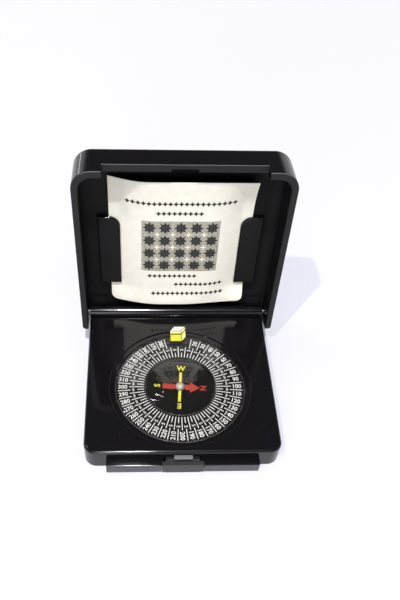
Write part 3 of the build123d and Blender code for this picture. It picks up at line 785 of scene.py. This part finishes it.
@dataclass
class Mouldings:
    """The case's own pieces: base, bottom cover, lid, clips, latch, and the small metal parts."""

    lid: LidPlace
    latch_joint: dict
    rim_reach: float = 5.5
    lid_ior: float = 1.35
    inside_cosine: float = 0.2
    clip_cosine: float = 0.97
    inside_colour: str = "#0E0E10"
    inside_roughness: float = 0.7
    # Painted reflection: besides their real gloss, the base's front faces take a lighter grey that stands for
    # the white table mirrored in them.
    front_reach: float = 1.0
    front_colour: str = "#424247"
    front_roughness: float = 0.3
    # Painted highlight: lid faces that turn up and towards the front take a lighter grey in place of the
    # lamps' glint on its rounded edges.
    worn_facing: Triple = (0.0, -0.64, 0.77)
    worn_cosine: float = 0.9
    worn_colour: str = "#5C5C60"
    latch_colour: str = "#323236"
    latch_roughness: float = 0.4
    # Painted highlight: the top of the latch's hook takes a lighter grey in place of the lamps' glint on it.
    hook_reach: float = 0.8
    hook_cosine: float = 0.6
    hook_colour: str = "#6C6C70"

    def dress(self) -> None:
        """Finish each moulding and metal part."""
        way = self.lid.outward()
        rim = self.lid.shut_box("lid_shell")[0].z + self.rim_reach
        rim_point = self.lid.turn() @ Vector((0.0, 0.0, rim))
        panel_point = self.lid.turn() @ self.lid.shut_box("lid_shell")[1]
        inside = Zone(tuple(way), way.dot(panel_point), self.inside_cosine, self.inside_colour,
                      self.inside_roughness)
        lid_rim = Zone(tuple(way), way.dot(rim_point))
        # Painted highlight: a lighter grey on the lid's faces that turn up and towards the front.
        painted_edge_highlight = Zone(self.worn_facing, 0.0, self.worn_cosine, self.worn_colour)
        lid_black = replace(GLOSS_BLACK, name="ABS_polished_black_lid", ior=self.lid_ior,
                            zones=(inside, lid_rim, painted_edge_highlight))
        clip_face = replace(inside, least_cosine=self.clip_cosine)
        clip_black = replace(lid_black, name="ABS_polished_black_clip", zones=(clip_face,))
        # Painted highlight: a lighter grey on the faces that turn up at the top of the hook.
        painted_hook_highlight = Zone((0.0, 0.0, 1.0), node_box("latch_button")[1].z - self.hook_reach, self.hook_cosine,
                    self.hook_colour)
        latch_grey = PolishedAbs("ABS_grey_latch_painted_highlight", self.latch_colour, self.latch_roughness, zones=(painted_hook_highlight,))
        # Painted reflection: a lighter grey on the base's front faces, for the table mirrored in them.
        front = Zone((0.0, -1.0, 0.0), -node_box("base_case")[0].y - self.front_reach,
                     colour=self.front_colour, roughness=self.front_roughness)
        base_black = replace(GLOSS_BLACK, name="ABS_polished_black_base", zones=(front,))
        for node, finish in {
            "base_case": base_black, "lid_shell": lid_black, "latch_button": latch_grey,
            "booklet_clip_left": clip_black, "booklet_clip_right": clip_black, "bottom_plate": GRAIN_BLACK,
            "bottom_screws": STEEL, "hinge_pin_left": STEEL, "hinge_pin_right": STEEL, "latch_spring": STEEL,
        }.items():
            dress_node(node, finish)
        self.free_spring()

    def free_spring(self) -> None:
        """Give the latch's spring a mesh of its own."""
        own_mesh(frame["nodes"]["latch_spring"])


@dataclass
class Capsule:
    """The compass capsule: lens, cup, pivot and the card's own hardware."""

    def dress(self) -> None:
        """Finish each piece of the capsule."""
        for node, finish in {
            "dome_lens": LENS_ACRYLIC, "dial_cup": GRAIN_BLACK, "dial_ring": BLACK_FOIL,
            "pivot_pin": STEEL, "compass_card": BLACK_FOIL, "card_magnets": MAGNET_STEEL, "hub_cap": NICKEL,
            "jewel_bearing": RUBY,
        }.items():
            dress_node(node, finish)


@dataclass
class DialFace:
    """White numbers and lines on the dial ring: 400 parts to a turn, clockwise from the back."""

    first_number: int = 20
    last_number: int = 380
    number_step: int = 10
    number_radius: float = 21.5
    numbers: Lettering = Lettering(height=1.8, narrowing=0.98)
    five_radius: float = 17.6
    fives: Lettering = Lettering(height=1.3)
    line_width: float = 0.32
    line_thickness: float = 0.03
    separator_span: Pair = (18.6, 23.4)
    long_span: Pair = (13.6, 19.1)
    short_span: Pair = (13.6, 16.1)

    def radial(self, gon: float, radius: float) -> Matrix:
        """Place a text along a radius so that it reads left to right from the front.

        Args:
            gon: the way of the radius, clockwise from the back.
            radius: how far out the text's middle is.

        Returns:
            The text's place, in millimetres.
        """
        angle = QUARTER_TURN - gon * GON
        away = Vector((math.cos(angle), math.sin(angle), 0.0)) * radius
        flip = math.pi if gon % FULL_TURN_GON > FULL_TURN_GON / 2 else 0.0
        return Matrix.Translation(top_middle("dial_ring") + away) @ Matrix.Rotation(angle + flip, 4, "Z")

    def build(self) -> None:
        """Print the lines, the numbers and the small fives."""
        half = self.number_step / 2
        tens = range(self.first_number, self.last_number + 1, self.number_step)
        round_count = FULL_TURN_GON // self.number_step
        tree = tick_ring_tree()
        for name, count, first, (start, end) in (
            ("dial_separators", len(tens) + 1, self.first_number - half, self.separator_span),
            ("dial_long_lines", round_count, 0.0, self.long_span),
            ("dial_short_lines", round_count, half, self.short_span),
        ):
            mesh = grow(tree, {
                "Count": count, "First Angle": first * GON, "Step": self.number_step * GON,
                "Inner Radius": start, "Length": end - start, "Width": self.line_width,
                "Thickness": self.line_thickness, "Ink": WHITE_INK.make()})
            mesh.transform(Matrix.Scale(MM, 4) @ Matrix.Translation(top_middle("dial_ring")))
            new_piece(name, mesh, WHITE_INK, Body.BASE)
        printed = Batch()
        for number in tens:
            printed.add(self.numbers.set(str(number)), self.radial(number, self.number_radius))
        new_piece("dial_numbers", printed.mesh(), WHITE_INK, Body.BASE)
        halves = Batch()
        for index in range(round_count):
            halves.add(self.fives.set("5"), self.radial(index * self.number_step + half, self.five_radius))
        new_piece("dial_fives", halves.mesh(), WHITE_INK, Body.BASE)


@dataclass
class CardFace:
    """The card's print: a red arrow to north, yellow bars to west and east, and four letters."""

    heading: float = -4.8
    thickness: float = 0.03
    letter_radius: float = 8.6
    letters: Lettering = Lettering(height=2.3, weight=0.03)
    arrow_tail: float = -6.6
    arrow_neck: float = 3.7
    arrow_tip: float = 7.4
    shaft_width: float = 2.3
    head_width: float = 4.8
    bar_width: float = 1.05
    bar_end: float = 6.7
    hub_gap: float = 0.1

    def place(self) -> Matrix:
        """Return the card's middle, turned so that X points north."""
        turn = Matrix.Rotation(math.radians(self.heading), 4, "Z")
        return Matrix.Translation(top_middle("compass_card")) @ turn

    def build(self) -> None:
        """Print the arrow, the bars and the letters."""
        hub_low, hub_high = node_box("hub_cap")
        clear = (hub_high.x - hub_low.x) / 2 + self.hub_gap
        shaft, head, bar = self.shaft_width / 2, self.head_width / 2, self.bar_width / 2
        tail, neck, tip = self.arrow_tail, self.arrow_neck, self.arrow_tip
        red, yellow = Batch(), Batch()
        red.add_plate([(tail, -shaft), (-clear, -shaft), (-clear, shaft), (tail, shaft)], 0.0, self.thickness)
        red.add_plate([(clear, -shaft), (neck, -shaft), (neck, -head), (tip, 0.0), (neck, head),
                       (neck, shaft), (clear, shaft)], 0.0, self.thickness)
        for start, end in ((clear, self.bar_end), (-self.bar_end, -clear)):
            yellow.add_plate([(-bar, start), (bar, start), (bar, end), (-bar, end)], 0.0, self.thickness)
        away = Matrix.Translation((self.letter_radius, 0.0, 0.0))
        upright = Matrix.Rotation(-QUARTER_TURN, 4, "Z")
        for letter, quarter, ink in (("N", 0, red), ("W", 1, yellow), ("S", 2, yellow), ("E", 3, yellow)):
            outward = Matrix.Rotation(quarter * QUARTER_TURN, 4, "Z")
            ink.add(self.letters.set(letter), outward @ away @ upright)
        new_piece("card_north_print", red.mesh(self.place()), RED_INK, Body.CARD)
        new_piece("card_cross_print", yellow.mesh(self.place()), YELLOW_INK, Body.CARD)


@dataclass
class DirectionMarker:
    """The small cube drawn at the dial's back: inked faces raised on a black plate, bare between them."""

    ink_thickness: float = 0.06
    edge: float = 0.14
    belt_height: float = 0.34
    upper_share: float = 0.3
    slant: Pair = (1.7, 2.3)

    def build(self) -> None:
        """Ink the front, the top and the side."""
        dress_node("qibla_marker", BLACK_FOIL)
        low, high = node_box("qibla_marker")
        lean_x, lean_y = self.slant
        left, right, foot, head = low.x, high.x - lean_x, low.y, high.y - lean_y
        edge = self.edge
        belt = head - (head - foot) * self.upper_share
        level = (high.z, high.z + self.ink_thickness)

        def panel(corner: Pair, across: Pair, up: Pair) -> Outline:
            """Draw a panel in by the edge.

            Args:
                corner: its first corner.
                across: one side from there.
                up: the other side from there.

            Returns:
                Its four corners, anticlockwise.
            """
            sizes = math.hypot(*across), math.hypot(*up)
            (a0, a1), (b0, b1) = ((edge / size, 1 - edge / size) for size in sizes)
            return [(corner[0] + a * across[0] + b * up[0], corner[1] + a * across[1] + b * up[1])
                    for a, b in ((a0, b0), (a1, b0), (a1, b1), (a0, b1))]

        wide = right - left
        lower, upper = belt - self.belt_height / 2 - foot, head - belt - self.belt_height / 2
        above = belt + self.belt_height / 2
        yellow, pale, white = Batch(), Batch(), Batch()
        yellow.add_plate(panel((left, foot), (wide, 0.0), (0.0, lower)), *level)
        pale.add_plate(panel((right, foot), self.slant, (0.0, lower)), *level)
        pale.add_plate(panel((left, above), (wide, 0.0), (0.0, upper)), *level)
        pale.add_plate(panel((right, above), self.slant, (0.0, upper)), *level)
        white.add_plate(panel((left, head), (wide, 0.0), self.slant), *level)
        for name, batch, ink in (("marker_walls", yellow, YELLOW_INK), ("marker_band", pale, PALE_YELLOW_INK),
                                 ("marker_roof", white, WHITE_INK)):
            new_piece(name, batch.mesh(), ink, Body.BASE)


@dataclass
class Booklet:
    """The paper booklet under the lid's clips: its leaves bow out between them, the cover the furthest."""

    lid: LidPlace
    bow_top: float = 4.7
    bow_middle: float = 3.7
    bow_foot: float = 4.6
    run_top: float = 15.0
    run_foot: float = 20.0
    run_held: float = 13.0
    clip_reach_foot: float = 8.0
    left_share_top: float = 0.05
    left_share_foot: float = 0.08
    right_drop_top: float = 0.02
    right_drop_foot: float = 0.46
    leaf_thickness: float = 0.12
    leaf_shares: tuple[float, ...] = (0.9, 0.93, 0.96, 0.98)
    back_share: float = 0.87
    tuck: float = 1.4
    foot_corner: float = 2.4
    corner_rows: int = 6
    mesh_step: float = 1.0
    print_lift: float = 0.02
    squash_keep: float = 0.3

    def __post_init__(self) -> None:
        """Read the leaves' places and the clips' reach from the lid's nodes."""
        self.front_low, self.front_high = self.lid.shut_box("booklet_front_leaf")
        self.inner_low, self.inner_high = self.lid.shut_box("booklet_inner_leaves")
        self.back_low, self.back_high = self.lid.shut_box("booklet_back_leaf")
        clip_low, clip_high = self.lid.shut_box("booklet_clip_right")
        self.clip_edge, self.clip_top, self.clip_foot = clip_low.x, clip_low.y, clip_high.y
        self.half = self.front_high.x
        self.top, self.foot = self.front_low.y, self.front_high.y

    def bow(self, x: float, y: float) -> float:
        """Return how far the cover stands out of its flat place.

        Args:
            x: the place across the lid.
            y: the place along the shut lid, from the free end at the top to the hinge.

        Returns:
            The bow in millimetres.
        """
        above = ramp(self.top, self.clip_top, y)
        below = rise(self.clip_foot, self.clip_foot + self.clip_reach_foot, y)
        held = above * (1 - below)
        down = rise(self.clip_top, self.clip_foot, y)
        left_share = blend(self.left_share_top, self.left_share_foot, down)
        run = blend(self.run_top, self.run_foot, down)
        free_left = blend(left_share, 1.0, arch(-self.half, -self.half + run, x))
        held_left = arch(-self.clip_edge, -self.clip_edge + self.run_held, x)
        drop = blend(self.right_drop_top, self.right_drop_foot, down)
        free_right = 1 - drop * rise(0.0, self.half, x)
        held_right = arch(-self.clip_edge, -self.clip_edge + self.run_held, -x)
        height = blend(blend(self.bow_top, self.bow_middle, above), self.bow_foot, below)
        return height * blend(free_left * free_right, held_left * held_right, held)

    def point(self, x: float, y: float, level: float, share: float = 1.0) -> Triple:
        """Return a point of a leaf in the open lid.

        Args:
            x: the place across the lid.
            y: the place along the shut lid.
            level: the leaf's flat height in the shut lid.
            share: how much of the cover's bow the leaf takes.

        Returns:
            The point in millimetres.
        """
        return tuple(self.lid.turn() @ Vector((x, y, level - share * self.bow(x, y))))

    def outline(self, tuck: float) -> Outline:
        """Return a leaf's half width and place along the lid, row by row, with its foot's corners rounded.

        Args:
            tuck: how much lower than the cover the leaf starts.

        Returns:
            Half width and place of each row, from the free end to the hinge.
        """
        start, turn = self.top + tuck, self.foot - self.foot_corner
        count = round((turn - start) / self.mesh_step)
        rows = [(self.half, blend(start, turn, row / count)) for row in range(count + 1)]
        for row in range(1, self.corner_rows + 1):
            angle = QUARTER_TURN * row / self.corner_rows
            rows.append((self.half - self.foot_corner * (1 - math.cos(angle)),
                         turn + self.foot_corner * math.sin(angle)))
        return rows

    def leaf(self, low: float, high: float, share: float, batch: Batch, tuck: float = 0.0) -> None:
        """Add a closed bowed sheet to a batch.

        Args:
            low: the sheet's outer level when it is flat.
            high: its level on the lid's side when it is flat.
            share: how much of the cover's bow it takes.
            batch: the batch.
            tuck: how much lower than the cover it starts.
        """
        outline = self.outline(tuck)
        columns = round(2 * self.half / self.mesh_step)
        rows = len(outline) - 1
        start, wide = len(batch.points), columns + 1
        layer = wide * (rows + 1)
        for level in (low, high):
            for half, y in outline:
                batch.points += [self.point(blend(-half, half, column / columns), y, level, share)
                                 for column in range(wide)]
        for row in range(rows):
            for column in range(columns):
                corner = start + row * wide + column
                near = [corner, corner + wide, corner + wide + 1, corner + 1]
                batch.faces.append(near)
                batch.faces.append([layer + index for index in reversed(near)])
        rim = list(range(columns))
        rim += [row * wide + columns for row in range(rows)]
        rim += [rows * wide + columns - column for column in range(columns)]
        rim += [(rows - row) * wide for row in range(rows)]
        for index, corner in enumerate(rim):
            after = rim[(index + 1) % len(rim)]
            batch.faces.append([start + corner, start + after, start + layer + after, start + layer + corner])

    def soften(self, piece: bpy.types.Object) -> None:
        """Give a paper piece a mesh of its own.

        Args:
            piece: the paper, or print on it.
        """
        anchor = self.lid.turn() @ Vector((0.0, 0.0, self.back_high.z))
        tuple(self.lid.outward())
        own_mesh(piece)

    def lay(self, mesh: Mesh, x: float, y: float) -> Mesh:
        """Bend a flat print onto the cover.

        Args:
            mesh: the print, in millimetres about the origin.
            x: where its middle goes across the lid.
            y: where its middle goes along the shut lid.

        Returns:
            The same mesh, in place and in metres.
        """
        for vertex in mesh.vertices:
            flat = vertex.co
            level = self.front_low.z - self.print_lift - flat.z
            vertex.co = Vector(self.point(x + flat.x, y + flat.y, level)) * MM
        mesh.flip_normals()
        mesh.update()
        return mesh

    def build(self) -> None:
        """Make the cover, the inner leaves and the back leaf in place of the flat ones."""
        cover, leaves, back = Batch(), Batch(), Batch()
        self.leaf(self.front_low.z, self.front_high.z, 1.0, cover)
        room = self.inner_high.z - self.inner_low.z - self.leaf_thickness
        for index, share in enumerate(self.leaf_shares):
            high = self.inner_high.z - room * index / (len(self.leaf_shares) - 1)
            self.leaf(high - self.leaf_thickness, high, share, leaves, self.tuck)
        self.leaf(self.back_low.z, self.back_high.z, self.back_share, back, self.tuck)
        for name, node, batch, paper, slot in (
            ("booklet_cover", "booklet_front_leaf", cover, COVER_PAPER, Slot.COVER_PAPER),
            ("booklet_leaves", "booklet_inner_leaves", leaves, INNER_PAPER, Slot.INNER_PAPER),
            ("booklet_back", "booklet_back_leaf", back, COVER_PAPER, Slot.COVER_PAPER),
        ):
            mesh = batch.mesh()
            mesh.shade_smooth()
            mesh.set_sharp_from_angle(angle=CREASE)
            piece = new_piece(name, mesh, paper, Body.LID)
            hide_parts(node)
            self.soften(piece)


@dataclass
class CoverPrint:
    """The cover's print: rows of small stars, and a grey panel of larger ones."""

    booklet: Booklet
    rows: tuple[Triple, ...] = (
        (-20.5, 19.8, -17.2), (-9.2, 7.8, -13.2), (-12.1, 7.0, 14.8), (-1.9, 17.3, 18.9), (-10.9, 18.2, 23.3))
    row_spacing: float = 1.9
    row_points: int = 4
    row_radii: Pair = (0.52, 1.0)
    panel_left: float = -14.3
    panel_right: float = 14.2
    panel_top: float = -9.9
    panel_foot: float = 12.4
    panel_step: float = 1.2
    star_columns: int = 5
    star_rows: int = 4
    star_points: int = 8
    star_radius: float = 2.5
    star_waist: float = 0.62
    spark_points: int = 4
    spark_radii: Pair = (0.4, 1.3)
    star_fineness: int = 2
    ink_thickness: float = 0.03
    layer_gap: float = 0.04

    def ink(self, name: str, mesh: Mesh, finish: Finish) -> None:
        """Make a bent print a piece of the lid."""
        self.booklet.soften(new_piece(name, mesh, finish, Body.LID))

    def panel(self) -> Mesh:
        """Make the flat grey panel.

        Returns:
            Its mesh in millimetres, about its own middle.
        """
        wide, tall = self.panel_right - self.panel_left, self.panel_foot - self.panel_top
        columns, rows = round(wide / self.panel_step), round(tall / self.panel_step)
        points = [(wide * (column / columns - 0.5), tall * (row / rows - 0.5), 0.0)
                  for row in range(rows + 1) for column in range(columns + 1)]
        starts = [row * (columns + 1) + column for row in range(rows) for column in range(columns)]
        mesh = bpy.data.meshes.new("panel")
        mesh.from_pydata(points, [], [
            (corner, corner + 1, corner + columns + 2, corner + columns + 1) for corner in starts])
        return mesh

    def stars(self, tree: Tree, columns: int, rows: int, spacing: Pair, points: int,
              radii: Pair, finish: Finish) -> Mesh:
        """Make a flat field of stars.

        Args:
            tree: the star field's tree.
            columns: how many stars stand side by side.
            rows: how many rows there are.
            spacing: the step from star to star, across and along.
            points: how many points a star has.
            radii: a star's waist and tip.
            finish: its ink.

        Returns:
            The mesh in millimetres, about the origin.
        """
        return grow(tree, {
            "Columns": columns, "Rows": rows, "Column Spacing": spacing[0], "Row Spacing": spacing[1],
            "Points": points, "Inner Radius": radii[0], "Outer Radius": radii[1],
            "Thickness": self.ink_thickness, "Fineness": self.star_fineness, "Ink": finish.make()})

    def build(self) -> None:
        """Print the rows and the panel."""
        tree = star_field_tree()
        for index, (left, right, y) in enumerate(self.rows):
            count = round((right - left) / self.row_spacing)
            mesh = self.stars(tree, count, 1, (self.row_spacing, 0.0), self.row_points, self.row_radii,
                              OFFSET_BLACK)
            mesh = self.booklet.lay(mesh, (left + right) / 2, y)
            self.ink(f"cover_row_{index + 1}", mesh, OFFSET_BLACK)
        x, y = (self.panel_left + self.panel_right) / 2, (self.panel_top + self.panel_foot) / 2
        self.ink("cover_panel", self.booklet.lay(self.panel(), x, y), HALFTONE_GREY)
        spacing = ((self.panel_right - self.panel_left) / self.star_columns,
                   (self.panel_foot - self.panel_top) / self.star_rows)
        star_radii = (self.star_waist * self.star_radius, self.star_radius)
        for name, fewer, points, radii, finish in (
            ("cover_large_stars", 0, self.star_points, star_radii, OFFSET_BLACK),
            ("cover_small_stars", 1, self.spark_points, self.spark_radii, COVER_PAPER),
        ):
            columns, rows = self.star_columns - fewer, self.star_rows - fewer
            mesh = self.stars(tree, columns, rows, spacing, points, radii, finish)
            mesh.transform(Matrix.Translation((0.0, 0.0, self.layer_gap)))
            self.ink(name, self.booklet.lay(mesh, x, y), finish)


@dataclass(frozen=True)
class Sun:
    """A far light: the way that it travels, watts for each square metre, and its width in degrees."""

    name: str
    travel: Triple
    strength: float
    softness: float
    colour: str

    def shine(self) -> None:
        """Put the sun in the scene."""
        light = bpy.data.lights.new(self.name, "SUN")
        light.energy = self.strength
        light.angle = math.radians(self.softness)
        light.color = linear(self.colour)[:3]
        put(self.name, light).rotation_euler = Vector(self.travel).to_track_quat("-Z", "Y").to_euler()


@dataclass(frozen=True)
class Lamp:
    """An oval lamp that faces the object: the way to it, distance and size in millimetres, and watts."""

    name: str
    way: Triple
    distance: float
    size: Pair
    power: float

    def hang(self) -> None:
        """Put the lamp in the scene."""
        light = bpy.data.lights.new(self.name, "AREA")
        light.shape = "ELLIPSE"
        light.size, light.size_y = (side * MM for side in self.size)
        light.energy = self.power
        lamp = put(self.name, light)
        away = Vector(self.way).normalized()
        lamp.location = away * self.distance * MM
        lamp.rotation_euler = (-away).to_track_quat("-Z", "Y").to_euler()


@dataclass
class Studio:
    """A white table under a high front key and a weaker sun from the left, and the photograph's camera."""

    camera_place: Triple = (-15.79, -139.64, 202.73)
    yaw: float = 0.073
    pitch: float = 0.927
    roll: float = 0.054
    focal_pixels: float = 634.1
    centre_pixels: Pair = (165.7, 368.3)
    frame_pixels: tuple[int, int] = (400, 600)
    nearest: float = 10.0
    floor_size: float = 900.0
    floor_colour: str = "#D8D8DB"
    floor_glow: float = 0.22
    glow_colour: str = "#D8DEFF"
    sky_colour: str = "#FFFFFF"
    sky_rise: Pair = (0.0, 0.6)
    sky_strengths: Pair = (0.8, 0.16)
    seen_rise: Pair = (0.2, 0.33)
    seen_strengths: Pair = (1.0, 0.06)
    suns: tuple[Sun, ...] = (
        Sun("key", (0.01, 0.33, -1.0), 2.3, 1.5, "#FDFCFF"),
        Sun("side", (0.4, 0.39, -1.0), 0.8, 1.0, "#FFF4E4"),
    )
    lamps: tuple[Lamp, ...] = (
        Lamp("fill", (-0.25, -0.93, 0.27), 450.0, (240.0, 240.0), 0.4),
        Lamp("tube", (0.04, -0.3, 0.95), 450.0, (320.0, 16.0), 0.12),
        Lamp("strip", (-0.37, 0.29, 0.91), 500.0, (10.0, 80.0), 0.032),
        Lamp("spot", (-0.3, 0.36, 0.88), 500.0, (22.0, 22.0), 0.05),
        Lamp("glint", (-0.44, 0.88, 0.16), 600.0, (200.0, 8.0), 0.05),
    )

    def shown(self, tree: Tree) -> Socket:
        """Tell rays that show a thing from rays that light the object.

        Args:
            tree: the nodes of the world or floor.

        Returns:
            1 for what the camera sees, by itself, in a mirror or through glass, and 0 for other rays.
        """
        path = add_node(tree, "ShaderNodeLightPath").outputs
        first = add_node(tree, "ShaderNodeMath", {0: path["Is Camera Ray"], 1: path["Is Glossy Ray"]},
                         operation="MAXIMUM")
        return add_node(tree, "ShaderNodeMath", {0: first, 1: path["Is Transmission Ray"]},
                        operation="MAXIMUM").outputs[0]

    def lay_floor(self) -> None:
        """Lay a plain pale floor that keeps the object's shadow."""
        half = self.floor_size * MM / 2
        mesh = bpy.data.meshes.new("floor")
        square = [(-half, -half, 0), (half, -half, 0), (half, half, 0), (-half, half, 0)]
        mesh.from_pydata(square, [], [(0, 1, 2, 3)])
        floor = put("floor", mesh)
        material = bpy.data.materials.new("table_white")
        tree = bare_tree(material)
        lit = add_node(tree, "ShaderNodeBsdfDiffuse", {"Color": linear(self.floor_colour)})
        strength = add_node(tree, "ShaderNodeMath", {0: self.shown(tree), 1: self.floor_glow},
                            operation="MULTIPLY")
        glow = add_node(tree, "ShaderNodeEmission", {"Color": linear(self.glow_colour), "Strength": strength})
        both = add_node(tree, "ShaderNodeAddShader", {0: lit, 1: glow})
        add_node(tree, "ShaderNodeOutputMaterial", {0: both})
        mesh.materials.append(material)

    def light(self) -> None:
        """Set the sky, the suns, a soft fill, and narrow lamps for the highlights on edges and dome."""
        world = bpy.data.worlds.new("studio")
        bpy.context.scene.world = world
        tree = bare_tree(world)
        place = add_node(tree, "ShaderNodeTexCoord")
        parts = add_node(tree, "ShaderNodeSeparateXYZ", {0: place.outputs["Generated"]})
        sky, seen = (
            add_node(tree, "ShaderNodeMapRange", {
                "Value": parts.outputs[2], "From Min": low, "From Max": high, "To Min": horizon,
                "To Max": zenith})
            for (low, high), (horizon, zenith) in (
                (self.sky_rise, self.sky_strengths), (self.seen_rise, self.seen_strengths)))
        strength = add_node(tree, "ShaderNodeMix", {0: self.shown(tree), 2: sky, 3: seen})
        back = add_node(tree, "ShaderNodeBackground", {
            "Color": linear(self.sky_colour), "Strength": strength})
        add_node(tree, "ShaderNodeOutputWorld", {0: back})
        for sun in self.suns:
            sun.shine()
        for lamp in self.lamps:
            lamp.hang()

    def set_camera(self) -> None:
        """Stand the camera where the photograph was taken."""
        ahead = math.cos(self.pitch)
        forward = Vector((math.sin(self.yaw) * ahead, math.cos(self.yaw) * ahead, -math.sin(self.pitch)))
        level = Vector((math.cos(self.yaw), -math.sin(self.yaw), 0.0))
        upright = level.cross(forward)
        right = math.cos(self.roll) * level + math.sin(self.roll) * upright
        up = math.cos(self.roll) * upright - math.sin(self.roll) * level
        camera = bpy.data.cameras.new("camera")
        wide, tall = self.frame_pixels
        longest = max(wide, tall)
        camera.lens = self.focal_pixels * camera.sensor_width / longest
        camera.shift_x = (wide / 2 - self.centre_pixels[0]) / longest
        camera.shift_y = (self.centre_pixels[1] - tall / 2) / longest
        camera.clip_start = self.nearest * MM
        holder = put("camera", camera)
        turn = Matrix((right, up, -forward)).transposed().to_4x4()
        holder.matrix_world = Matrix.Translation(Vector(self.camera_place) * MM) @ turn
        bpy.context.scene.camera = holder

    def build(self) -> None:
        """Set up the floor, the lamps, the camera and the plain view."""
        self.lay_floor()
        self.light()
        self.set_camera()
        bpy.context.scene.view_settings.view_transform = "Standard"


def main() -> None:
    """Build the compass and its studio, piece by piece."""
    joints = {joint["name"]: joint for joint in frame["joints"]}
    lid = LidPlace(joints["lid_hinge"])
    Mouldings(lid, joints["latch_press"]).dress()
    Capsule().dress()
    DialFace().build()
    CardFace().build()
    DirectionMarker().build()
    booklet = Booklet(lid)
    booklet.build()
    CoverPrint(booklet).build()
    Studio().build()


if __name__ == "__main__":
    logging.basicConfig(level=logging.INFO, format="%(name)s %(message)s")
    main()
